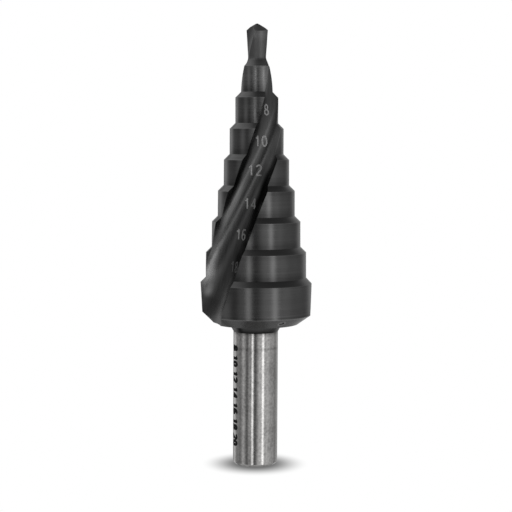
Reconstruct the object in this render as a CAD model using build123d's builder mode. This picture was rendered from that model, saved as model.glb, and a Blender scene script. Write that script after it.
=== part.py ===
"""A straight-shank step drill: one ground piece with nine diameters and two helical flutes.

The drill stands on the end of its shank, with the origin at the centre of that end, and points along +Z.
"""

import os
from math import ceil, cos, radians, sin, tan

from build123d import *

# Steps of the head, in millimetres and degrees
pilot_diameter = 4.0  # smallest hole, drilled by the point
step_rise = 2.0  # each step is this much larger than the one above it
step_count = 8  # steps below the pilot
step_land = 4.48  # height of each middle step's cylinder
pilot_land = 5.15  # height of the pilot's side
pilot_root_diameter = 3.4  # the pilot narrows a little away from the point
pilot_root_hollow = 0.9  # radius of the hollow where the pilot meets its shoulder
rim_land = 5.6  # height of the largest cylinder
shoulder_angle = 45.0  # of each cutting shoulder, measured from the axis

# Relief of the lands, which fall away behind their cutting edges all along the head
land_relief = 0.21  # drop a quarter turn behind an edge
relief_lead = 8.0  # the fall starts this far ahead of the edge, inside the flute
section_spacing = 1.6  # greatest height between two sections of the relieved head
hollow_sections = 4  # sections along the pilot's root hollow

# Point, ground on two tilted cones so that each flank falls away behind its lip
point_angle = 118.0
lip_relief = 8.0  # tilt of each flank's cone about its lip
chisel_half_width = 0.2  # how far each cone's apex stands off the axis
chisel_angle = 125.0  # between a lip and the chisel edge
point_stock = 1.0  # blank left above the point before it is ground

# Shank and the underside of the head
shank_diameter = 8.0
shank_length = 25.45  # from the end to the head's underside
shank_chamfer = 0.5
neck_diameter = 9.6  # where the shank flares into the underside
neck_length = 1.4
rim_bevel_height = 1.7  # bevel between the underside and the largest cylinder
rim_bevel_width = 2.4

# Flutes, right-hand, each a circular hollow that turns and narrows towards the point
flute_count = 2
flute_start_angle = -203.0  # bearing of the first cutting edge at the underside, from +X
flute_turn_length_low = 160.5  # length of a full turn at the underside
flute_turn_length_high = 71.0  # length of a full turn at the point
flute_opening_low = 79.0  # angle between a flute's two edges at the underside
flute_opening_middle = 62.0  # the same half way up the head
flute_opening_high = 100.0  # the same at the point
web_low = 12.0  # metal left between the flutes at the underside, before the run-out
web_high = 1.8  # the same at the pilot's shoulder to the point
run_out_length = 10.0  # over which the cutter is lifted out above the underside
run_out_share = 0.65  # lift at the underside, as a share of the flute's depth between its edges
flute_overrun = 2.0  # how far the cut passes the underside and the point
flute_sections = 18  # stations along each flute
cutter_reach = 3.0  # how far the cutter stands out past its nose's centre

# Small dimple in the bevel, a witness mark of the grinding fixture
dimple_diameter = 0.9
dimple_angle = -58.5  # from +X
dimple_share = 0.5  # of the way up the bevel
dimple_sink = 0.1  # how far its centre lies under the bevel's full circle

# Sizes that follow from the ones above
shank_radius = shank_diameter / 2
pilot_radius = pilot_diameter / 2
rise = step_rise / 2
shoulder_height = rise / tan(radians(shoulder_angle))
rim_radius = pilot_radius + step_count * rise
underside_z = shank_length
rim_z = underside_z + rim_bevel_height
rim_top_z = rim_z + rim_land
last_step_z = rim_top_z + (step_count - 1) * (step_land + shoulder_height)
pilot_root_radius = pilot_root_diameter / 2
pilot_root_z = last_step_z + (pilot_radius + rise - pilot_root_radius) / tan(radians(shoulder_angle))
pilot_top_z = pilot_root_z + pilot_land
point_slope = 1 / tan(radians(point_angle / 2))
apex_z = pilot_top_z + pilot_radius * point_slope
head_length = apex_z - underside_z


def head_outline():
    """Corners of the head's side, from the underside's rim up to the top of the blank."""
    corners = [(rim_radius - rim_bevel_width, underside_z), (rim_radius, rim_z), (rim_radius, rim_top_z)]
    radius, height = corners[-1]
    for _ in range(step_count - 1):
        radius -= rise
        height += shoulder_height
        corners.append((radius, height))
        height += step_land
        corners.append((radius, height))
    hollow_reach = pilot_root_hollow * tan(radians(shoulder_angle) / 2)
    for section in range(hollow_sections + 1):
        turn = radians(shoulder_angle) * (1 - section / hollow_sections)
        radius = pilot_root_radius + pilot_root_hollow * (1 - cos(turn))
        height = pilot_root_z + hollow_reach - pilot_root_hollow * sin(turn)
        corners.append((radius, height))
    return corners + [(pilot_radius, pilot_top_z), (pilot_radius, apex_z + point_stock)]


def head_stations():
    """Radius and height of every section of the head, close enough together to follow the flutes' turn."""
    corners = head_outline()
    stations = [corners[0]]
    for (radius_low, z_low), (radius_high, z_high) in zip(corners, corners[1:]):
        parts = ceil((z_high - z_low) / section_spacing)
        for part in range(1, parts + 1):
            share = part / parts
            stations.append((radius_low + (radius_high - radius_low) * share, z_low + (z_high - z_low) * share))
    return stations


def envelope_radius(z):
    """Radius of the cone that passes over the steps' corners, level at the rim and at the pilot."""
    fall = (z - rim_top_z) * rise / (step_land + shoulder_height)
    return min(rim_radius, max(pilot_radius, rim_radius - fall))


def edge_bearing(z):
    """Bearing of the first cutting edge, whose lead shortens evenly towards the point."""
    height = z - underside_z
    turn_low = 360 / flute_turn_length_low
    turn_high = 360 / flute_turn_length_high
    return flute_start_angle + turn_low * height + (turn_high - turn_low) * height**2 / (2 * head_length)


def flute_opening(z):
    """Angle between a flute's edges: a smooth curve through its low, middle and high values."""
    share = max(0.0, z - underside_z) / head_length
    low = flute_opening_low * (1 - share) * (1 - 2 * share)
    middle = flute_opening_middle * 4 * share * (1 - share)
    high = flute_opening_high * share * (2 * share - 1)
    return low + middle + high


def flute_circle(z):
    """Radius of the flute's hollow and the distance of its centre from the axis."""
    height = max(0.0, z - underside_z)
    half_opening = radians(flute_opening(z)) / 2
    outer = envelope_radius(z)
    floor = (web_low + (web_high - web_low) * height / head_length) / 2
    depth = outer * cos(half_opening) - floor
    run_out = max(0.0, 1 - height / run_out_length)
    lift = run_out_share * run_out**2 * depth
    radius = ((outer * sin(half_opening)) ** 2 + depth**2) / (2 * depth)
    return radius, floor + lift + radius


def bearing_vector(degrees_from_x):
    """Unit vector across the axis at a bearing."""
    return Vector(cos(radians(degrees_from_x)), sin(radians(degrees_from_x)), 0)


# Cutter of one flute: round-nosed sections that turn about the axis, joined by one smooth skin
flute_low_z = underside_z - flute_overrun
flute_high_z = apex_z + point_stock + flute_overrun
with BuildPart() as flute_cutter:
    for station in range(flute_sections + 1):
        z = flute_low_z + (flute_high_z - flute_low_z) * station / flute_sections
        radius, offset = flute_circle(z)
        back = offset + cutter_reach
        middle = edge_bearing(z) + flute_opening(z) / 2
        section = Plane(origin=(0, 0, z), x_dir=bearing_vector(middle), z_dir=(0, 0, 1))
        with BuildSketch(section):
            with BuildLine():
                ThreePointArc((offset, -radius), (offset - radius, 0), (offset, radius))
                Polyline((offset, radius), (back, radius), (back, -radius), (offset, -radius))
            make_face()
    loft()

with BuildPart() as step_drill:
    # Head's blank: two arcs in every section, which meet in line with the cutting edges and turn with them
    for radius, z in head_stations():
        ridge = bearing_vector(edge_bearing(z) + relief_lead)
        with BuildSketch(Plane(origin=(0, 0, z), x_dir=ridge, z_dir=(0, 0, 1))):
            with BuildLine():
                ThreePointArc((radius, 0), (0, radius - land_relief), (-radius, 0))
                ThreePointArc((-radius, 0), (0, land_relief - radius), (radius, 0))
            make_face()
    loft(ruled=True)

    # Shank with its chamfered end and the neck that flares into the underside
    with BuildSketch(Plane.XZ):
        with BuildLine():
            Polyline(
                (0, 0),
                (shank_radius - shank_chamfer, 0),
                (shank_radius, shank_chamfer),
                (shank_radius, underside_z - neck_length),
                (neck_diameter / 2, underside_z),
                (0, underside_z),
                close=True,
            )
        make_face()
    revolve(axis=Axis.Z)

    # Point: what is left inside two cones, one behind each lip
    lip_bearing = edge_bearing(pilot_top_z)
    for lip in range(flute_count):
        bearing = lip_bearing + lip * 360 / flute_count
        apex = bearing_vector(bearing + 90 - chisel_angle) * -chisel_half_width + Vector(0, 0, apex_z)
        along_lip = bearing_vector(bearing)
        tilted_axis = Vector(0, 0, 1).rotate(Axis((0, 0, 0), along_lip), lip_relief)
        with Locations(Plane(origin=apex, x_dir=along_lip, z_dir=tilted_axis)):
            Cone(
                bottom_radius=apex_z / point_slope * 2,
                top_radius=0,
                height=apex_z * 2,
                align=(Align.CENTER, Align.CENTER, Align.MAX),
                mode=Mode.INTERSECT,
            )

    # Flutes
    with PolarLocations(0, flute_count):
        add(flute_cutter.part, mode=Mode.SUBTRACT)

    # Dimple in the bevel
    dimple_radius = rim_radius - rim_bevel_width * (1 - dimple_share) - dimple_sink
    dimple_place = bearing_vector(dimple_angle) * dimple_radius
    with Locations(dimple_place + Vector(0, 0, underside_z + rim_bevel_height * dimple_share)):
        Sphere(dimple_diameter / 2, mode=Mode.SUBTRACT)

step_drill.part.label = "step_drill"
os.makedirs("parts", exist_ok=True)
export_step(step_drill.part, "parts/step_drill.step")
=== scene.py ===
"""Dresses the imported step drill: coated head, bright shank, size numbers, and a plain white studio."""

import logging
import math
from collections.abc import Mapping, Sequence
from dataclasses import dataclass
from enum import Enum

import bmesh
import bpy
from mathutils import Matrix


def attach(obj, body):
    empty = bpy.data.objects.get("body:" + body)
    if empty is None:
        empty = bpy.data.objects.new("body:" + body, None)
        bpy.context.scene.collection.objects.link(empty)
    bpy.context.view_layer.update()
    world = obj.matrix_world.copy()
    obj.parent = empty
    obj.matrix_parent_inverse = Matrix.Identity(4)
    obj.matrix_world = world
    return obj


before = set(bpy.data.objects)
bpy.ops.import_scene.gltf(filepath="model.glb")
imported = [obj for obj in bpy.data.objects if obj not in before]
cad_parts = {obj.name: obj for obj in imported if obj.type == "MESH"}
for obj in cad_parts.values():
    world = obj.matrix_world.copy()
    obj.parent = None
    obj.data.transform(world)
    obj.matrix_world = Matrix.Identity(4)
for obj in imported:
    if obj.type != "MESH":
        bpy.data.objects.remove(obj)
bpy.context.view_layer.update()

LOG = logging.getLogger("step_drill")
MM = 0.001
PER_MM = 1 / MM
IMAGE_SIZE = 512
BODY = "root"
VIEWER_BEARING = 90.0  # from the viewer's side to +X, in degrees

# Places of the Mix node's sockets, whose names repeat
MIX_FACTOR = 0
MIX_NUMBERS = (2, 3)
MIX_COLOURS = (6, 7)
MIX_COLOUR_OUT = 2

Colour = tuple[float, float, float, float]


class Slot(Enum):
    """Material slot of the record, held with an added piece."""

    MARKS = "size_marks"


class Reading(Enum):
    """Turn of a row of numbers about the line of sight, in degrees."""

    ACROSS = 0.0
    DOWNWARD = -90.0


class Channel:
    """A node's output that takes part in arithmetic: each operation adds the Math node for it."""

    def __init__(self, graph: "Graph", socket: bpy.types.NodeSocket) -> None:
        """Wraps one output socket.

        Args:
            graph: The graph that the socket's node belongs to.
            socket: The output that is wrapped.
        """
        self.graph = graph
        self.socket = socket

    def _math(self, operation: str, *values: "Channel | float") -> "Channel":
        """Adds a Math node and gives its value."""
        return self.graph.add("ShaderNodeMath", {"operation": operation}, dict(enumerate(values)))

    def __add__(self, other: "Channel | float") -> "Channel":
        """Sum with a socket or a number."""
        return self._math("ADD", self, other)

    def __radd__(self, other: float) -> "Channel":
        """Sum with a number on the left."""
        return self._math("ADD", other, self)

    def __sub__(self, other: "Channel | float") -> "Channel":
        """Difference from a socket or a number."""
        return self._math("SUBTRACT", self, other)

    def __rsub__(self, other: float) -> "Channel":
        """Difference of a number and this socket."""
        return self._math("SUBTRACT", other, self)

    def __mul__(self, other: "Channel | float") -> "Channel":
        """Product with a socket or a number."""
        return self._math("MULTIPLY", self, other)

    def __rmul__(self, other: float) -> "Channel":
        """Product with a number on the left."""
        return self._math("MULTIPLY", other, self)

    def __truediv__(self, other: "Channel | float") -> "Channel":
        """Quotient by a socket or a number."""
        return self._math("DIVIDE", self, other)

    def __abs__(self) -> "Channel":
        """Absolute value."""
        return self._math("ABSOLUTE", self)

    def floor(self) -> "Channel":
        """Largest whole number that isn't above this value."""
        return self._math("FLOOR", self)

    def root(self) -> "Channel":
        """Square root."""
        return self._math("SQRT", self)

    def sine(self) -> "Channel":
        """Sine of this angle in radians."""
        return self._math("SINE", self)

    def cosine(self) -> "Channel":
        """Cosine of this angle in radians."""
        return self._math("COSINE", self)

    def bell(self) -> "Channel":
        """Bell curve of this value: 1 at zero, falling away on both sides."""
        return self._math("EXPONENT", 0.0 - self * self)

    def at_least(self, low: "Channel | float") -> "Channel":
        """This value, or low where that is more."""
        return self._math("MAXIMUM", self, low)

    def at_most(self, high: "Channel | float") -> "Channel":
        """This value, or high where that is less."""
        return self._math("MINIMUM", self, high)

    def angle_to(self, other: "Channel") -> "Channel":
        """Bearing in degrees of the point (this, other)."""
        return self._math("DEGREES", self._math("ARCTAN2", other, self))

    def wrapped(self, low: float, high: float) -> "Channel":
        """This value brought between low and high by whole turns of their difference."""
        return self._math("WRAP", self, high, low)

    def step(self, low: float, high: float) -> "Channel":
        """Smooth step from 0 at low to 1 at high."""
        inputs = {"Value": self, "From Min": low, "From Max": high}
        return self.graph.add("ShaderNodeMapRange", {"interpolation_type": "SMOOTHSTEP"}, inputs)


class Graph:
    """Adds nodes to one node tree and hands back their outputs."""

    def __init__(self, tree: bpy.types.NodeTree) -> None:
        """Empties the tree that is written to.

        Args:
            tree: A shader tree or a geometry tree.
        """
        self.tree = tree
        tree.nodes.clear()

    def node(
        self,
        kind: str,
        settings: Mapping[str, object] | None = None,
        inputs: Mapping[str | int, object] | None = None,
    ) -> bpy.types.Node:
        """Adds one node.

        Args:
            kind: The node's type name.
            settings: The node's own properties, which are set first.
            inputs: Values or links of its sockets, by name or by place.

        Returns:
            The new node.
        """
        made = self.tree.nodes.new(kind)
        for name, value in (settings or {}).items():
            setattr(made, name, value)
        for key, value in (inputs or {}).items():
            target = made.inputs[key]
            if isinstance(value, Channel):
                self.tree.links.new(value.socket, target)
            else:
                target.default_value = value
        return made

    def add(
        self,
        kind: str,
        settings: Mapping[str, object] | None = None,
        inputs: Mapping[str | int, object] | None = None,
        output: str | int = 0,
    ) -> Channel:
        """Adds one node and gives one of its outputs.

        Args:
            kind: The node's type name.
            settings: The node's own properties.
            inputs: Values or links of its sockets.
            output: Which output to hand back, by name or by place.

        Returns:
            The wrapped output.
        """
        return Channel(self, self.node(kind, settings, inputs).outputs[output])

    def vector(self, x: "Channel | float", y: "Channel | float", z: "Channel | float") -> Channel:
        """Joins three numbers into a vector."""
        return self.add("ShaderNodeCombineXYZ", None, {0: x, 1: y, 2: z})

    def split(self, vector: Channel) -> tuple[Channel, ...]:
        """Takes a vector apart into its three numbers."""
        parts = self.node("ShaderNodeSeparateXYZ", None, {0: vector}).outputs
        return tuple(Channel(self, part) for part in parts)

    def mix(self, factor: Channel, low: Channel, high: Channel) -> Channel:
        """Mixes two numbers: factor 0 gives low and 1 gives high."""
        places = (MIX_FACTOR, *MIX_NUMBERS)
        return self.add("ShaderNodeMix", None, dict(zip(places, (factor, low, high))))

    def blend(self, factor: Channel, low: "Channel | Colour", high: "Channel | Colour") -> Channel:
        """Mixes two colours: factor 0 gives low and 1 gives high."""
        inputs = dict(zip((MIX_FACTOR, *MIX_COLOURS), (factor, low, high)))
        return self.add("ShaderNodeMix", {"data_type": "RGBA"}, inputs, MIX_COLOUR_OUT)

    def scaled(self, colour: "Channel | Colour", factor: Channel) -> Channel:
        """Multiplies a colour by a number."""
        given = colour if isinstance(colour, Channel) else colour[:3]
        return self.add("ShaderNodeVectorMath", {"operation": "SCALE"}, {0: given, "Scale": factor})

    def noise(self, place: Channel, scale: float, detail: float) -> Channel:
        """Smooth noise between 0 and 1 at a place."""
        inputs = {"Vector": place, "Scale": scale, "Detail": detail}
        return self.add("ShaderNodeTexNoise", None, inputs)

    def object_coordinates(self) -> Channel:
        """Place of the shaded point on its object, in metres."""
        return self.add("ShaderNodeTexCoord", None, None, "Object")

    def bump(self, height: Channel, strength: float, distance: float) -> Channel:
        """Normal of a surface with these fine heights."""
        inputs = {"Strength": strength, "Distance": distance, "Height": height}
        return self.add("ShaderNodeBump", None, inputs)

    def principled(self, inputs: Mapping[str | int, object]) -> None:
        """Gives the material a Principled surface with these inputs."""
        shader = self.add("ShaderNodeBsdfPrincipled", None, inputs)
        self.node("ShaderNodeOutputMaterial", None, {"Surface": shader})


def grey(level: float, warmth: float = 0.0) -> Colour:
    """Linear colour near grey; warmth above 0 leans to yellow and below 0 to blue."""
    return (level * (1 + warmth), level, level * (1 - warmth), 1.0)


def new_material(name: str) -> tuple[bpy.types.Material, Graph]:
    """Makes an empty material and the graph that fills it."""
    made = bpy.data.materials.new(name)
    made.use_nodes = True
    return made, Graph(made.node_tree)


@dataclass(frozen=True)
class Band:
    """Bell-shaped band of a measure: its strength in the middle, and a third of that one width away."""

    middle: float
    width: float
    strength: float = 1.0

    def of(self, measure: Channel) -> Channel:
        """Strength of the band at each value of the measure."""
        return ((measure - self.middle) * (1 / self.width)).bell() * self.strength


@dataclass(frozen=True)
class Ramp:
    """Smooth change between two values of a measure."""

    low: float
    high: float
    strength: float = 1.0

    def above(self, measure: Channel) -> Channel:
        """The strength above the ramp, and 0 below it."""
        return measure.step(self.low, self.high) * self.strength

    def below(self, measure: Channel) -> Channel:
        """The strength below the ramp, and 0 above it."""
        return (1.0 - measure.step(self.low, self.high)) * self.strength


@dataclass(frozen=True)
class DrillSizes:
    """Sizes of the drill that the finishes follow, in millimetres and degrees."""

    underside: float = 25.45
    coating_edge: float = 24.05
    rim_edge: float = 27.15
    rim_top: float = 32.75
    rim_radius: float = 10.0
    rim_side: Ramp = Ramp(9.3, 9.7)
    pilot_radius: float = 2.0
    rise: float = 1.0
    pitch: float = 5.48
    shoulder: float = 1.0
    head_length: float = 53.31
    edge_start: float = -203.0
    turn_length_low: float = 160.5
    turn_length_high: float = 71.0
    opening_low: float = 79.0
    opening_middle: float = 62.0
    opening_high: float = 100.0
    land_relief: float = 0.21
    relief_lead: float = 8.0
    land_depth: Ramp = Ramp(0.03, 0.09)
    dimple_radius: float = 8.7
    dimple_angle: float = -58.5
    dimple_height: float = 26.3

    @property
    def turn_rate(self) -> float:
        """Turn of the flutes at the underside, in degrees for each millimetre."""
        return 360.0 / self.turn_length_low

    @property
    def turn_gain(self) -> float:
        """How the turn grows with the square of the height above the underside."""
        return (360.0 / self.turn_length_high - self.turn_rate) / (2 * self.head_length)

    @property
    def last_step(self) -> float:
        """Number of the uppermost step, counted from 0 above the rim."""
        return (self.rim_radius - self.pilot_radius) / self.rise - 1


class DrillPlace:
    """Where a point of the steel lies on the drill, in millimetres and degrees, for a material to read."""

    def __init__(self, graph: Graph, sizes: DrillSizes) -> None:
        """Works the place out from the object coordinates.

        Args:
            graph: The material's graph.
            sizes: The drill's sizes.
        """
        self.sizes = sizes
        self.coordinates = graph.object_coordinates()
        self.x, self.y, self.z = (part * PER_MM for part in graph.split(self.coordinates))
        self.radius = (self.x * self.x + self.y * self.y).root()
        self.above = self.z - sizes.underside
        self.climb = self.z - sizes.rim_top
        self.step = (self.climb / sizes.pitch).floor().at_least(-1.0).at_most(sizes.last_step)
        self.into_step = (self.climb - self.step * sizes.pitch).at_least(0.0)
        self.angle = self._ahead_of_edge()
        self.sunk = self._land_radius() - self.radius
        self.on_land = sizes.land_depth.below(self.sunk)
        self.across = self.angle / self._opening()

    def _ahead_of_edge(self) -> Channel:
        """Angle ahead of the nearest cutting edge."""
        sizes, above = self.sizes, self.above
        edge = above * above * sizes.turn_gain + above * sizes.turn_rate + sizes.edge_start
        return (self.x.angle_to(self.y) - edge).wrapped(0.0, 180.0)

    def _land_radius(self) -> Channel:
        """Radius that a land has at this height and angle."""
        sizes = self.sizes
        shoulder = (self.into_step * (sizes.rise / sizes.shoulder)).at_most(sizes.rise)
        full = (sizes.rim_radius - self.step * sizes.rise - shoulder).at_most(sizes.rim_radius)
        turned = (self.angle - sizes.relief_lead) * math.radians(1.0)
        return full - abs(turned.sine()) * sizes.land_relief

    def _opening(self) -> Channel:
        """Angle between the flute's two edges at this height."""
        sizes = self.sizes
        share = (self.above * (1 / sizes.head_length)).at_least(0.0)
        low = (1.0 - share) * (1.0 - share * 2.0) * sizes.opening_low
        middle = share * (1.0 - share) * (4.0 * sizes.opening_middle)
        high = share * (share * 2.0 - 1.0) * sizes.opening_high
        return low + middle + high

    def from_corner(self) -> Channel:
        """Height above the nearest outer corner of a step."""
        half = self.sizes.pitch / 2
        return (self.climb + half).wrapped(0.0, self.sizes.pitch) - half

    def below_cone(self) -> Channel:
        """Depth under the cone that passes over the steps' corners."""
        slope = self.sizes.rise / self.sizes.pitch
        return self.climb.at_least(0.0) * -slope + self.sizes.rim_radius - self.radius

    def down_land(self) -> Channel:
        """Share of the way down a land and its shoulder: 0 at the top, 1 at the corner below."""
        return (self.into_step * (-1 / self.sizes.pitch) + 1.0).at_most(1.0)

    def at_rim(self) -> Channel:
        """1 near the rim's full radius, and 0 further in."""
        return self.sizes.rim_side.above(self.radius)

    def from_dimple(self) -> Channel:
        """Distance from the middle of the dimple in the bevel."""
        sizes = self.sizes
        turn = math.radians(sizes.dimple_angle)
        x = self.x - sizes.dimple_radius * math.cos(turn)
        y = self.y - sizes.dimple_radius * math.sin(turn)
        z = self.z - sizes.dimple_height
        return (x * x + y * y + z * z).root()


@dataclass(frozen=True)
class GrindingLines:
    """Fine lines that run round the lands and the shank, and along the flutes."""

    pitch: float = 0.16
    waver: float = 0.08
    flute_turn: float = 0.35
    flute_depth: float = 2.0
    flute_rise: float = 0.05
    detail: float = 3.0

    def of(self, graph: Graph, place: DrillPlace) -> Channel:
        """Makes the lines.

        Args:
            graph: The material's graph.
            place: Where the steel lies.

        Returns:
            Their height, between 0 and 1.
        """
        x, y, z = place.x * self.waver, place.y * self.waver, place.z * (1 / self.pitch)
        round_lines = graph.noise(graph.vector(x, y, z), 1.0, self.detail)
        turn, depth = place.angle * self.flute_turn, place.radius * self.flute_depth
        flute_place = graph.vector(turn, depth, place.z * self.flute_rise)
        flute_lines = graph.noise(flute_place, 1.0, self.detail)
        return graph.mix(place.on_land, flute_lines, round_lines)


@dataclass(frozen=True)
class FluteShade:
    """Painted shade: a dark band that runs down the flute, where its walls are in shadow.

    Its place across the flute is 0 at the leading edge and 1 at the trailing edge. Its start and its end
    are heights in millimetres.
    """

    across: Band
    start: Ramp | None = None
    end: Ramp | None = None

    def of(self, place: DrillPlace) -> Channel:
        """Strength of the shade."""
        shade = self.across.of(place.across)
        shade = shade * self.start.above(place.z) if self.start else shade
        return shade * self.end.below(place.z) if self.end else shade


@dataclass(frozen=True)
class PaintedFluteHighlight:
    """Painted highlight: a bright streak down the flute's leading wall, at a nearly even depth under the
    steps' cone.

    Lengths are in millimetres. It is stronger and wider in the lower flute. Its depth grows with height
    by the slope, and waves and gleams are bands of height where it strays and where it is brighter.
    """

    strength: float = 1.2
    width: float = 0.55
    depth_at_foot: float = -1.01
    slope: float = 0.07
    lower_flute: Ramp = Ramp(36.5, 41.5)
    lower_strength: float = 1.9
    lower_width: float = 0.4
    waves: tuple[Band, ...] = (Band(38.6, 1.2, -0.42), Band(35.2, 1.2, 0.2))
    gleams: tuple[Band, ...] = (Band(34.1, 1.2, 3.4), Band(37.0, 1.1, -1.0))
    start: Ramp = Ramp(29.6, 31.4)
    end: Ramp = Ramp(46.0, 52.0)
    wall: Ramp = Ramp(0.25, 0.45)

    def of(self, place: DrillPlace) -> Channel:
        """Makes the painted highlight.

        Args:
            place: Where the steel lies.

        Returns:
            How much brighter it makes the coating, as a share of its colour.
        """
        lower = self.lower_flute.below(place.z)
        depth = place.z * self.slope + self.depth_at_foot + sum(band.of(place.z) for band in self.waves)
        off_line = (place.below_cone() - depth) / (lower * self.lower_width + self.width)
        strength = lower * self.lower_strength + self.strength
        strength = strength + sum(band.of(place.z) for band in self.gleams)
        strength = strength * self.start.above(place.z) * self.end.below(place.z)
        return off_line.bell() * self.wall.below(place.across) * strength


@dataclass(frozen=True)
class LandShadeBands:
    """Painted shade on each land: dark bands below the next shoulder up, and beside and on its own shoulder.
    """

    head: Band = Band(0.0, 0.16, 0.2)
    foot: Band = Band(0.82, 0.2)
    foot_strength: float = 0.38
    shoulder: Ramp = Ramp(0.8, 0.84, 0.2)
    fade_in: float = 0.5

    def of(self, place: DrillPlace) -> Channel:
        """Makes the bands.

        Args:
            place: Where the steel lies.

        Returns:
            How much darker they make the coating, as a share of its colour.
        """
        down = place.down_land()
        foot = self.foot.of(down) * (self.foot_strength - self.shoulder.above(down))
        rim_top = place.sizes.rim_top
        start = place.z.step(rim_top - self.fade_in, rim_top)
        return (self.head.of(down) + foot) * place.on_land * start


@dataclass(frozen=True)
class WearAndEdgeGlints:
    """Lighter edges at the steps' corners, the flutes' lips, the bevel's edge and the dimple: partly wear of
    the coating, partly a painted highlight where the sharp edges catch the light.
    """

    corner: Band = Band(0.0, 0.10, 0.3)
    lip_depth: Ramp = Ramp(0.02, 0.16)
    lip_strength: float = 0.7
    lip_shelter: float = 0.85
    patchiness: float = 1.2
    evenness: float = 0.2
    start: Ramp = Ramp(1.0, 2.2)
    bevel_edge: Band = Band(-0.08, 0.11, 0.5)
    dimple_edge: Band = Band(0.62, 0.16, 0.8)

    def of(self, place: DrillPlace, blotches: Channel, shelter: Channel) -> Channel:
        """Makes the wear.

        Args:
            place: Where the steel lies.
            blotches: Noise that makes the wear patchy.
            shelter: Painted shade of the flute, which leaves a lip there less light.

        Returns:
            The share of the coating that is worn away or lit by the painted highlight.
        """
        corners = self.corner.of(place.from_corner()) * place.on_land
        lips = self.lip_depth.below(place.sunk) * (1.0 - place.on_land)
        lips = lips * (self.lip_strength - shelter * self.lip_shelter)
        patches = blotches * self.patchiness + self.evenness
        edges = (corners + lips) * patches * self.start.above(place.above)
        bevel = self.bevel_edge.of(place.z - place.sizes.rim_edge) * place.at_rim()
        worn_or_glinting = edges + bevel + self.dimple_edge.of(place.from_dimple())
        return worn_or_glinting.at_most(1.0)


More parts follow.
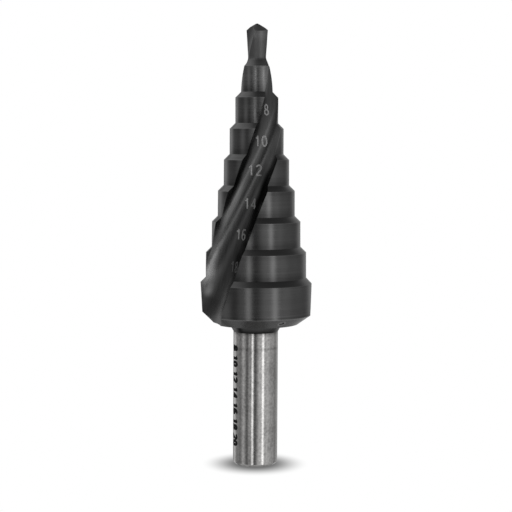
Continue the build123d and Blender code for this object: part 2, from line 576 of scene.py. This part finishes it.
@dataclass(frozen=True)
class SteelFinish:
    """Ground steel whose head has a dark hard coating.

    Colours are linear, and lengths are in millimetres. The painted shades and highlights follow the place on
    the drill, so they stay where they are in every view and under every light.
    """

    sizes: DrillSizes = DrillSizes()
    lines: GrindingLines = GrindingLines()
    flute_highlight: PaintedFluteHighlight = PaintedFluteHighlight()
    land_shades: LandShadeBands = LandShadeBands()
    wear_and_glints: WearAndEdgeGlints = WearAndEdgeGlints()
    # Painted shades down the flute, where its walls are in shadow
    low_shade: FluteShade = FluteShade(Band(0.66, 0.2, 0.85), Ramp(30.0, 34.5), Ramp(37.0, 41.0))
    leading_shade: FluteShade = FluteShade(Band(0.0, 0.045, 0.65), start=Ramp(44.0, 51.0))
    trailing_shade: FluteShade = FluteShade(Band(0.93, 0.10, 0.85), end=Ramp(49.5, 55.0))
    run_out_shade: FluteShade = FluteShade(Band(0.45, 0.25, 0.55), end=Ramp(28.5, 31.0))
    blotch_scale: float = 260.0
    grain_scale: float = 2400.0
    noise_detail: float = 3.0

    coat: float = 0.095
    # Painted shade: the coating in the flute is darker than on the lands, for the hollow's shade
    shaded_flute_coat: float = 0.075
    coat_plain: float = 0.58
    coat_lines: float = 0.5
    coat_blotches: float = 0.35
    # Grey of the worn edges and of the painted highlights on them
    wear_and_glint_grey: float = 0.22
    # Painted light: the coating is made lighter towards the tip and on the upper lands, for their brighter
    # highlights
    tip_light: Ramp = Ramp(64.0, 71.0, 0.5)
    upper_light: Ramp = Ramp(52.0, 60.0, 0.15)
    edge_waver: float = 0.12
    edge_softness: float = 0.05

    bare: float = 0.42
    bare_warmth: float = 0.015
    bare_plain: float = -0.175
    bare_lines: float = 0.5
    bare_blotches: float = 0.75
    bare_grain: float = 1.1
    shank_ring: Band = Band(21.2, 0.3, 0.5)

    # Painted shade at the neck, the foot, the coating's edge and above the bevel
    neck_shade: Ramp = Ramp(24.4, 25.3, 0.35)
    foot_shade: Ramp = Ramp(0.2, 0.55, 0.35)
    coating_edge_shade: Band = Band(0.0, 0.35, 0.5)
    rim_edge_shade: Band = Band(0.2, 0.13, 0.3)

    coat_roughness: float = 0.26
    coat_rough_lines: float = 0.16
    land_smoothness: float = 0.04
    upper_dullness: Ramp = Ramp(63.0, 64.0, 0.05)
    tip_dullness: Ramp = Ramp(70.0, 72.0, 0.17)
    bare_roughness: float = 0.13
    bare_rough_lines: float = 0.08
    line_depth: float = 0.004
    line_strength: float = 0.5

    def material(self, name: str) -> bpy.types.Material:
        """Makes the material.

        Args:
            name: Its name.

        Returns:
            The new material.
        """
        made, graph = new_material(name)
        place = DrillPlace(graph, self.sizes)
        lines = self.lines.of(graph, place)
        blotches = graph.noise(place.coordinates, self.blotch_scale, self.noise_detail)
        wavy_height = place.z + (blotches - 0.5) * self.edge_waver
        edge = self.sizes.coating_edge
        coated = wavy_height.step(edge - self.edge_softness, edge + self.edge_softness)
        coat_colour = self._coat_colour(graph, place, lines, blotches)
        bare_colour = self._bare_colour(graph, place, lines, blotches)
        colour = graph.blend(coated, bare_colour, coat_colour)
        colour = graph.scaled(colour, 1.0 - self._edge_shades(place, coated))
        bare_rough = (lines - 0.5) * self.bare_rough_lines + self.bare_roughness
        rough = graph.mix(coated, bare_rough, self._coat_roughness(place, lines))
        bump = graph.bump(lines, self.line_strength, self.line_depth * MM)
        graph.principled({"Base Color": colour, "Metallic": 1.0, "Roughness": rough, "Normal": bump})
        return made

    def _coat_light(self, place: DrillPlace, low_shade: Channel) -> Channel:
        """Works out how light the coating is, with its painted shades and highlights.

        Args:
            place: Where the steel lies.
            low_shade: The flute's painted shade beside its lower trailing edge.

        Returns:
            The share that is left of the coating's colour, above 1 where it is lighter.
        """
        kept = 1.0 - low_shade
        for shade in (self.leading_shade, self.trailing_shade, self.run_out_shade):
            kept = kept * (1.0 - shade.of(place))
        # The flute's painted shades and its painted highlight
        in_flute = (kept + self.flute_highlight.of(place) - 1.0) * (1.0 - place.on_land) + 1.0
        raised = self.tip_light.above(place.z) + self.upper_light.above(place.z) * place.on_land + 1.0
        return in_flute * (1.0 - self.land_shades.of(place)) * raised

    def _coat_colour(
        self, graph: Graph, place: DrillPlace, lines: Channel, blotches: Channel
    ) -> Channel:
        """Makes the coated head's colour.

        Args:
            graph: The material's graph.
            place: Where the steel lies.
            lines: Height of the grinding lines.
            blotches: Noise of the blotches.

        Returns:
            The colour, with its worn edges and their painted highlights.
        """
        low_shade = self.low_shade.of(place)
        colour = graph.blend(place.on_land, grey(self.shaded_flute_coat), grey(self.coat))
        colour = graph.scaled(colour, self._coat_light(place, low_shade))
        uneven = lines * self.coat_lines + blotches * self.coat_blotches + self.coat_plain
        worn_or_glinting = self.wear_and_glints.of(place, blotches, low_shade)
        return graph.blend(worn_or_glinting, graph.scaled(colour, uneven), grey(self.wear_and_glint_grey))

    def _bare_colour(
        self, graph: Graph, place: DrillPlace, lines: Channel, blotches: Channel
    ) -> Channel:
        """Makes the bare shank's colour.

        Args:
            graph: The material's graph.
            place: Where the steel lies.
            lines: Height of the grinding lines.
            blotches: Noise of the blotches.

        Returns:
            The colour, with its grain and its ring.
        """
        grain = graph.noise(place.coordinates, self.grain_scale, self.noise_detail)
        uneven = lines * self.bare_lines + blotches * self.bare_blotches + grain * self.bare_grain
        ring = self.shank_ring.of(place.z) * blotches
        return graph.scaled(grey(self.bare, self.bare_warmth), uneven + self.bare_plain - ring)

    def _edge_shades(self, place: DrillPlace, coated: Channel) -> Channel:
        """Works out the painted shade: dark lines at the coating's edge and above the bevel, and darker ends
        at the neck and the foot.

        Args:
            place: Where the steel lies.
            coated: 1 on the coating and 0 on bare steel.

        Returns:
            The share of the colour that this painted shade takes away.
        """
        ends = self.neck_shade.below(place.z) * coated + self.foot_shade.below(place.z)
        coating_edge = self.coating_edge_shade.of(place.z - self.sizes.coating_edge)
        rim_edge = self.rim_edge_shade.of(place.z - self.sizes.rim_edge) * place.at_rim()
        return ends + coating_edge + rim_edge

    def _coat_roughness(self, place: DrillPlace, lines: Channel) -> Channel:
        """Works out the coating's roughness.

        Args:
            place: Where the steel lies.
            lines: Height of the grinding lines.

        Returns:
            The roughness, lower on the lands and higher towards the tip.
        """
        rough = (lines - 0.5) * self.coat_rough_lines + self.coat_roughness
        rough = rough - place.on_land * self.land_smoothness
        return rough + self.upper_dullness.above(place.z) + self.tip_dullness.above(place.z)


@dataclass(frozen=True)
class MarkFinish:
    """Laser mark on steel: a dull, slightly uneven grey.

    Its painted shades darken it beside the flute's trailing wall, which leans to the right as it climbs, and
    in the flute's lowest part, where the flute is in shadow. Lengths are in millimetres.
    """

    level: float
    roughness: float = 0.55
    metallic: float = 0.4
    specular: float = 0.5
    speckle: float = 0.25
    grain_scale: float = 5200.0
    grain_detail: float = 2.0
    grain_rough: float = 0.2
    grain_depth: float = 0.01
    grain_strength: float = 0.4
    wall_shade: float = 0.0
    wall_foot: float = -15.26
    wall_lean: float = 0.3
    wall_edge: Ramp = Ramp(-0.5, 0.5)
    low_flute_shade: float = 0.0
    low_flute: Ramp = Ramp(36.5, 40.5)

    def material(self, name: str) -> bpy.types.Material:
        """Makes the material.

        Args:
            name: Its name.

        Returns:
            The new material.
        """
        made, graph = new_material(name)
        place = graph.object_coordinates()
        x, _, z = (part * PER_MM for part in graph.split(place))
        grain = graph.noise(place, self.grain_scale, self.grain_detail)
        dark, light = grey(self.level * (1 - self.speckle)), grey(self.level * (1 + self.speckle))
        # Painted shade beside the trailing wall and low in the flute
        near_wall = self.wall_edge.above(x - z * self.wall_lean - self.wall_foot) * self.wall_shade
        low = self.low_flute.below(z) * self.low_flute_shade
        inputs = {
            "Base Color": graph.scaled(graph.blend(grain, dark, light), (1.0 - near_wall) * (1.0 - low)),
            "Metallic": self.metallic,
            "Roughness": (grain - 0.5) * self.grain_rough + self.roughness,
            "Specular IOR Level": self.specular,
            "Normal": graph.bump(grain, self.grain_strength, self.grain_depth * MM),
        }
        graph.principled(inputs)
        return made


# A digit's arc is cut into straight parts: this many degrees each, and no fewer than this many
ARC_PART_ANGLE = 12
ARC_LEAST_PARTS = 4

# Ends of a stroke that are closer than this share of the digit's height are joined
SAME_SPOT = 1e-6


@dataclass(frozen=True)
class Arc:
    """Part of an ellipse in a digit's cell, walked from one angle to the other, in degrees."""

    x: float
    y: float
    half_width: float
    half_height: float
    start: float
    end: float

    def points(self) -> list[tuple[float, float]]:
        """Gives the points along the arc."""
        sweep = self.end - self.start
        count = max(ARC_LEAST_PARTS, round(abs(sweep) / ARC_PART_ANGLE))
        turns = [math.radians(self.start + sweep * k / count) for k in range(count + 1)]
        return [
            (self.x + self.half_width * math.cos(turn), self.y + self.half_height * math.sin(turn))
            for turn in turns
        ]


Stroke = tuple[Arc | tuple[float, float], ...]

# Digits as pen strokes in a cell that is 1 high, with x = 0 down its middle
DIGIT_STROKES: dict[str, tuple[Stroke, ...]] = {
    "0": ((Arc(0.0, 0.5, 0.195, 0.43, 90, 450),),),
    "1": (((-0.13, 0.72), (-0.02, 0.80), (0.06, 0.93), (0.06, 0.07)),),
    "2": ((Arc(0.0, 0.70, 0.19, 0.23, 165, -35), (-0.20, 0.07), (0.21, 0.07)),),
    "4": (((0.09, 0.07), (0.09, 0.93), (-0.21, 0.30), (0.22, 0.30)),),
    "6": ((Arc(0.02, 0.5, 0.215, 0.43, 50, 180), Arc(0.0, 0.31, 0.195, 0.24, 180, 540)),),
    "8": ((Arc(0.0, 0.29, 0.20, 0.22, 90, 450),), (Arc(0.0, 0.715, 0.165, 0.215, 270, -90),)),
}


@dataclass(frozen=True)
class NumberRow:
    """A number, or several, written in pen strokes on a flat sheet."""

    text: str
    digit_height: float
    stretch: float = 1.0
    advance: float = 0.66
    space: float = 0.36

    def strokes(self) -> bpy.types.Mesh:
        """Lays the strokes out round the origin.

        Returns:
            A mesh of edges only, in the XY plane.
        """
        widths = [self.space if letter == " " else self.advance for letter in self.text]
        wide, high = self.digit_height * self.stretch, self.digit_height
        pen = -sum(widths) / 2
        points: list[tuple[float, float, float]] = []
        edges: list[tuple[int, int]] = []
        for letter, width in zip(self.text, widths):
            middle = pen + width / 2
            for stroke in DIGIT_STROKES.get(letter, ()):
                path: list[tuple[float, float]] = []
                for part in stroke:
                    path += part.points() if isinstance(part, Arc) else [part]
                closed = math.dist(path[0], path[-1]) < SAME_SPOT
                path = path[:-1] if closed else path
                first, count = len(points), len(path)
                points += [((x + middle) * wide, (y - 0.5) * high, 0.0) for x, y in path]
                edges += [(first + k, first + k + 1) for k in range(count - 1)]
                edges += [(first + count - 1, first)] if closed else []
            pen += width
        mesh = bpy.data.meshes.new("strokes")
        mesh.from_pydata(points, edges, [])
        return mesh


@dataclass
class NumberPress:
    """Marks numbers on a curved surface.

    The strokes are stood outside the surface, facing it at a bearing. Each point is carried straight in
    until it meets the steel, and the path that this gives gets a thin, flat body.
    """

    surface: bpy.types.Object
    start_radius: float = 14.0 * MM
    spacing: float = 0.09 * MM
    proud: float = 0.05 * MM
    pen_corners: int = 10

    def tree(self) -> bpy.types.GeometryNodeTree:
        """Makes the geometry tree with its named inputs.

        Returns:
            The new tree.
        """
        made = bpy.data.node_groups.new("number_press", "GeometryNodeTree")
        face = made.interface
        face.new_socket("Strokes", in_out="INPUT", socket_type="NodeSocketGeometry")
        for name in ("Bearing", "Height", "Turn", "Line Width", "Proud", "Spacing", "Start Radius"):
            face.new_socket(name, in_out="INPUT", socket_type="NodeSocketFloat")
        face.new_socket("Surface", in_out="INPUT", socket_type="NodeSocketObject")
        face.new_socket("Material", in_out="INPUT", socket_type="NodeSocketMaterial")
        face.new_socket("Geometry", in_out="OUTPUT", socket_type="NodeSocketGeometry")
        graph = Graph(made)
        entry = graph.node("NodeGroupInput")
        given = {out.name: Channel(graph, out) for out in entry.outputs if out.name}

        # Turn the sheet in its own plane, then stand it up at the bearing
        bearing, start = given["Bearing"], given["Start Radius"]
        out_x, out_y = bearing.cosine(), bearing.sine()
        turn = graph.vector(0.0, 0.0, given["Turn"])
        turned = graph.add("GeometryNodeTransform", None, {0: given["Strokes"], "Rotation": turn})
        upright = {
            0: turned,
            "Translation": graph.vector(out_x * start, out_y * start, given["Height"]),
            "Rotation": graph.vector(math.pi / 2, 0.0, bearing + math.pi / 2),
        }
        stood = graph.add("GeometryNodeTransform", None, upright)
        path = graph.add("GeometryNodeMeshToCurve", None, {0: stood})
        by_length = {0: path, "Length": given["Spacing"]}
        path = graph.add("GeometryNodeResampleCurve", {"mode": "LENGTH"}, by_length)

        # Carry each point in to the steel, by a ray that starts well outside it, and let the stroke lie flat
        steel = graph.add("GeometryNodeObjectInfo", None, {"Object": given["Surface"]}, "Geometry")
        inward = graph.vector(0.0 - out_x, 0.0 - out_y, 0.0)
        outside = graph.vector(out_x * start, out_y * start, 0.0)
        now = graph.add("GeometryNodeInputPosition")
        source = graph.add("ShaderNodeVectorMath", {"operation": "ADD"}, {0: now, 1: outside})
        cast = {
            "Target Geometry": steel,
            "Source Position": source,
            "Ray Direction": inward,
            "Ray Length": start * 3.0,
        }
        ray = graph.node("GeometryNodeRaycast", None, cast)
        spot, facing = (Channel(graph, ray.outputs[name]) for name in ("Hit Position", "Hit Normal"))
        landed = graph.add("GeometryNodeSetPosition", None, {0: path, "Position": spot})
        level = graph.add("GeometryNodeSetCurveNormal", {"mode": "FREE"}, {0: landed, "Normal": facing})
        circle = {"Resolution": self.pen_corners, "Radius": 0.5}
        round_pen = graph.add("GeometryNodeCurvePrimitiveCircle", None, circle)
        pen_size = graph.vector(given["Proud"] * 2.0, given["Line Width"], 1.0)
        pen = graph.add("GeometryNodeTransform", None, {0: round_pen, "Scale": pen_size})
        swept = {"Curve": level, "Profile Curve": pen, "Fill Caps": True}
        body = graph.add("GeometryNodeCurveToMesh", None, swept)
        real = graph.add("GeometryNodeRealizeInstances", None, {0: body})
        dressed = graph.add("GeometryNodeSetMaterial", None, {0: real, "Material": given["Material"]})
        graph.node("NodeGroupOutput", None, {0: dressed})
        return made

    def press(
        self, tree: bpy.types.GeometryNodeTree, row: NumberRow, inputs: Mapping[str, object]
    ) -> bpy.types.Mesh:
        """Runs the tree once and gives its plain mesh.

        Args:
            tree: The tree that this class makes.
            row: What is written.
            inputs: Values of the tree's named inputs.

        Returns:
            A mesh of the marked strokes.
        """
        strokes = row.strokes()
        carrier = bpy.data.objects.new("carrier", strokes)
        bpy.context.scene.collection.objects.link(carrier)
        modifier = carrier.modifiers.new("press", "NODES")
        modifier.node_group = tree
        values = {
            "Surface": self.surface,
            "Proud": self.proud,
            "Spacing": self.spacing,
            "Start Radius": self.start_radius,
            **inputs,
        }
        for item in tree.interface.items_tree:
            if item.in_out == "INPUT" and item.name in values:
                modifier[item.identifier] = values[item.name]
        bpy.context.view_layer.update()
        evaluated = carrier.evaluated_get(bpy.context.evaluated_depsgraph_get())
        mesh = bpy.data.meshes.new_from_object(evaluated)
        carrier.modifiers.remove(modifier)
        bpy.data.objects.remove(carrier)
        bpy.data.meshes.remove(strokes)
        return mesh


def merged_piece(
    name: str, meshes: Sequence[bpy.types.Mesh], material: bpy.types.Material
) -> bpy.types.Object:
    """Joins meshes into one smooth object at the origin, with its faces outwards.

    Args:
        name: The piece's name.
        meshes: What it is made of.
        material: Its finish.

    Returns:
        The new object.
    """
    joined = bmesh.new()
    for mesh in meshes:
        joined.from_mesh(mesh)
        bpy.data.meshes.remove(mesh)
    bmesh.ops.recalc_face_normals(joined, faces=joined.faces)
    for face in joined.faces:
        face.smooth = True
        face.material_index = 0
    whole = bpy.data.meshes.new(name)
    joined.to_mesh(whole)
    joined.free()
    whole.materials.clear()
    whole.materials.append(material)
    piece = bpy.data.objects.new(name, whole)
    bpy.context.scene.collection.objects.link(piece)
    return piece


@dataclass
class DrillBody:
    """The ground and coated drill itself, whose shape is the solid's own."""

    node: bpy.types.Object
    finish: SteelFinish = SteelFinish()

    def dress(self) -> bpy.types.Object:
        """Gives the solid its finish.

        Returns:
            The solid's object.
        """
        slots = self.node.data.materials
        slots.clear()
        slots.append(self.finish.material("ground_and_coated_steel"))
        return self.node


@dataclass(frozen=True)
class NumberPlace:
    """Where a number stands: height in millimetres, bearing from the viewer's side in degrees.

    The stretch widens its digits, where the steel lies aslant.
    """

    text: str
    height: float
    bearing: float
    stretch: float = 1.0


@dataclass
class NumberMarks:
    """Numbers of one kind, marked on the steel as one piece."""

    name: str
    press: NumberPress
    places: tuple[NumberPlace, ...]
    reading: Reading
    slot: Slot
    finish: MarkFinish
    digit_height: float
    line_width: float

    def build(self) -> bpy.types.Object:
        """Makes the numbers as one piece.

        Returns:
            The new piece.
        """
        tree = self.press.tree()
        material = self.finish.material(f"{self.name}_finish")
        meshes: list[bpy.types.Mesh] = []
        for place in self.places:
            row = NumberRow(place.text, self.digit_height, place.stretch)
            inputs = {
                "Bearing": math.radians(place.bearing - VIEWER_BEARING),
                "Height": place.height * MM,
                "Turn": math.radians(self.reading.value),
                "Line Width": self.line_width,
                "Material": material,
            }
            meshes.append(self.press.press(tree, row, inputs))
        piece = merged_piece(self.name, meshes, material)
        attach(piece, BODY)
        return piece


@dataclass(frozen=True)
class Panel:
    """A soft upright panel of light in the surroundings.

    Azimuth 0 is the viewer's side, and positive is to the right. The spread is where the light has faded
    to about a third.
    """

    azimuth: float
    spread: float
    radiance: float

    def light(self, azimuth: Channel) -> Channel:
        """Its light at an azimuth in degrees."""
        off = (azimuth - self.azimuth).wrapped(-180.0, 180.0)
        return (off * (1 / self.spread)).bell() * self.radiance


@dataclass
class Studio:
    """White floor and surroundings, with soft panels of light all round the drill.

    The backdrop is the part of the white background that the steel shows. The contact shadow is a painted
    shadow, a soft dark patch on the floor: its sizes are in millimetres, and the floor's own sizes are in
    metres.
    """

    gain: float = 1.75
    base: float = 0.05
    panels: tuple[Panel, ...] = (
        Panel(-15.2, 5.2, 1.08),
        Panel(-31.0, 8.0, 0.25),
        Panel(39.5, 6.0, 1.1),
        Panel(22.0, 14.0, 0.42),
        Panel(60.0, 18.0, 0.33),
        Panel(95.0, 30.0, 0.23),
        Panel(-64.0, 13.0, 0.32),
        Panel(-98.0, 18.0, 0.13),
        Panel(-135.0, 18.0, 0.42),
        Panel(146.0, 18.0, 0.23),
        Panel(180.0, 20.0, 0.1),
    )
    backdrop: Panel = Panel(180.0, 11.0, 1.0)
    overhead: float = 0.12
    overhead_left: Ramp = Ramp(0.0, 0.5, 0.35)
    upward: Ramp = Ramp(0.3, 0.7)
    underfoot: float = 0.35
    downward: Ramp = Ramp(0.6, 0.95)
    floor_size: float = 6.0
    floor_drop: float = 0.02 * MM
    floor_white: float = 0.9
    contact_shadow: Ramp = Ramp(2.4, 9.8, 0.86)
    contact_shadow_forward: float = 0.5

    def floor(self) -> bpy.types.Object:
        """Makes the floor, white to the camera, with a painted shadow, a soft dark patch round the shank's
        foot.

        Returns:
            The floor's object.
        """
        half = self.floor_size / 2
        mesh = bpy.data.meshes.new("floor")
        corners = [(-half, -half), (half, -half), (half, half), (-half, half)]
        mesh.from_pydata([(x, y, -self.floor_drop) for x, y in corners], [], [(0, 1, 2, 3)])
        made, graph = new_material("white_floor")
        x, y = (part * PER_MM for part in graph.split(graph.object_coordinates())[:2])
        y = y + self.contact_shadow_forward
        away = (x * x + y * y).root()
        # White to the camera, with a painted shadow round the shank's foot
        white_with_shadow = graph.add("ShaderNodeEmission", None, {"Color": 1.0 - self.contact_shadow.below(away)})
        matt = graph.add("ShaderNodeBsdfDiffuse", None, {"Color": grey(self.floor_white)})
        seen = graph.add("ShaderNodeLightPath", None, None, "Is Camera Ray")
        surface = graph.add("ShaderNodeMixShader", None, {0: seen, 1: matt, 2: white_with_shadow})
        graph.node("ShaderNodeOutputMaterial", None, {"Surface": surface})
        mesh.materials.append(made)
        floor = bpy.data.objects.new("floor", mesh)
        bpy.context.scene.collection.objects.link(floor)
        floor.visible_glossy = False
        floor.visible_shadow = False
        return floor

    def world(self) -> bpy.types.World:
        """Makes the surroundings: white to the camera, and soft panels of light to the steel.

        Returns:
            The world, which is now the scene's own.
        """
        made = bpy.data.worlds.new("studio")
        made.use_nodes = True
        graph = Graph(made.node_tree)
        x, y, z = graph.split(graph.add("ShaderNodeTexCoord", None, None, "Generated"))
        azimuth = (0.0 - y).angle_to(x)
        around = sum(panel.light(azimuth) for panel in self.panels) + self.base
        above, below = self.upward.above(z), self.downward.above(0.0 - z)
        ceiling = self.overhead_left.above(0.0 - x) + self.overhead
        level = around * (1.0 - above) + above * ceiling
        level = level * (1.0 - below) + below * self.underfoot

        # The steel shows the white background too, where it turns towards what lies behind the drill
        rays = graph.node("ShaderNodeLightPath")
        seen, glossy = (Channel(graph, rays.outputs[name]) for name in ("Is Camera Ray", "Is Glossy Ray"))
        behind = self.backdrop.light(azimuth) * (1.0 - above) * (1.0 - below)
        white = seen.at_least(glossy * behind)
        strength = white + (1.0 - white) * level * self.gain
        sky = graph.add("ShaderNodeBackground", None, {"Color": grey(1.0), "Strength": strength})
        graph.node("ShaderNodeOutputWorld", None, {"Surface": sky})
        bpy.context.scene.world = made
        return made

    def build(self) -> None:
        """Makes the floor and the surroundings."""
        self.floor()
        self.world()


@dataclass(frozen=True)
class Camera:
    """The photograph's viewpoint.

    The focal length is in pixels of the square image, and the turns are in degrees.
    """

    distance: float = 0.25
    height: float = 58.95 * MM
    sideways: float = -0.01 * MM
    tilt_down: float = 4.9
    roll: float = 0.29
    focal_pixels: float = 1405.0
    sensor: float = 36.0
    nearest: float = 0.01
    farthest: float = 50.0

    def build(self) -> bpy.types.Object:
        """Makes the camera and sets it as the scene's own.

        Returns:
            The camera's object.
        """
        data = bpy.data.cameras.new("camera")
        data.sensor_width = self.sensor
        data.lens = self.focal_pixels * self.sensor / IMAGE_SIZE
        data.clip_start, data.clip_end = self.nearest, self.farthest
        camera = bpy.data.objects.new("camera", data)
        camera.location = (self.sideways, -self.distance, self.height)
        tilt = math.radians(90.0 - self.tilt_down)
        camera.rotation_mode = "XYZ"
        camera.rotation_euler = (tilt, 0.0, 0.0)
        camera.rotation_euler.rotate_axis("Z", math.radians(self.roll))
        bpy.context.scene.collection.objects.link(camera)
        bpy.context.scene.camera = camera
        return camera


def size_marks(press: NumberPress) -> NumberMarks:
    """Settles the step sizes, one under the other in the first flute."""
    places = (
        NumberPlace("8", 63.5, 45.0, 1.1),
        NumberPlace("10", 58.0, 14.0),
        NumberPlace("12", 52.9, -5.0, 1.05),
        NumberPlace("14", 47.05, -15.5),
        NumberPlace("16", 41.6, -36.0, 0.95),
        NumberPlace("18", 35.85, -48.0),
    )
    return NumberMarks(
        name="size_numbers",
        press=press,
        places=places,
        reading=Reading.ACROSS,
        slot=Slot.MARKS,
        finish=MarkFinish(level=0.38, wall_shade=0.45, low_flute_shade=0.6),
        digit_height=2.05 * MM,
        line_width=0.31 * MM,
    )


def shank_marks(press: NumberPress) -> NumberMarks:
    """Settles the plain row of numbers along the shank, in dark laser mark."""
    return NumberMarks(
        name="shank_numbers",
        press=press,
        places=(NumberPlace("8 10 12 14 16 18 20", 12.6, -66.5),),
        reading=Reading.DOWNWARD,
        slot=Slot.MARKS,
        finish=MarkFinish(level=0.012, roughness=0.8, metallic=0.0, specular=0.1),
        digit_height=1.7 * MM,
        line_width=0.54 * MM,
    )


def report(piece: bpy.types.Object) -> None:
    """Logs a piece's name and how many faces it has."""
    LOG.info("%s: %d faces", piece.name, len(piece.data.polygons))


def main() -> None:
    """Builds the camera, the studio and every piece."""
    logging.basicConfig(level=logging.INFO, format="%(message)s")
    bpy.context.scene.view_settings.view_transform = "Standard"
    Camera().build()
    Studio().build()
    body = DrillBody(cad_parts["step_drill"]).dress()
    report(body)
    press = NumberPress(body)
    for marks in (size_marks(press), shank_marks(press)):
        report(marks.build())


if __name__ == "__main__":
    main()
